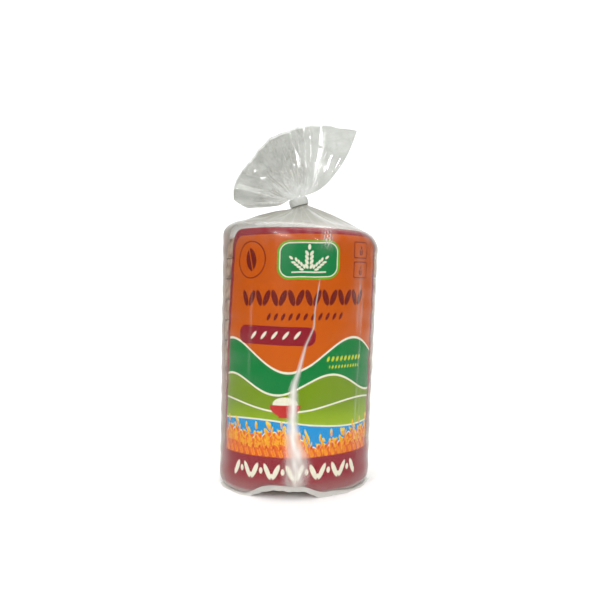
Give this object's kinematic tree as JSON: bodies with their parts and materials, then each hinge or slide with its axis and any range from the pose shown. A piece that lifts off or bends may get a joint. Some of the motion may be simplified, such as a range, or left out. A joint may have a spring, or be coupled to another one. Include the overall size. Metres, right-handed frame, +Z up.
{
  "type": "bag of puffed rice cakes",
  "caption": "Upright stack of round puffed rice cakes in a clear crinkly film bag with a printed front panel, gathered above the stack, closed by a narrow band and ending in a fanned film tail.",
  "frame": {"origin": "middle of the flat base that the pack stands on", "axes": "+Z up along the stack, the printed front faces -Y, +X to the right seen from the front"},
  "size_m": [0.1007, 0.0972, 0.2225],
  "materials": {
    "printed_film": "glossy film printed on its inner side",
    "clear_film": "clear crinkly film",
    "band": "frosted soft plastic",
    "rice_cake": "dry puffed grain, matt"
  },
  "bodies": {
    "root": {"bag": "printed_film", "tie": "band"}
  },
  "joints": []
}
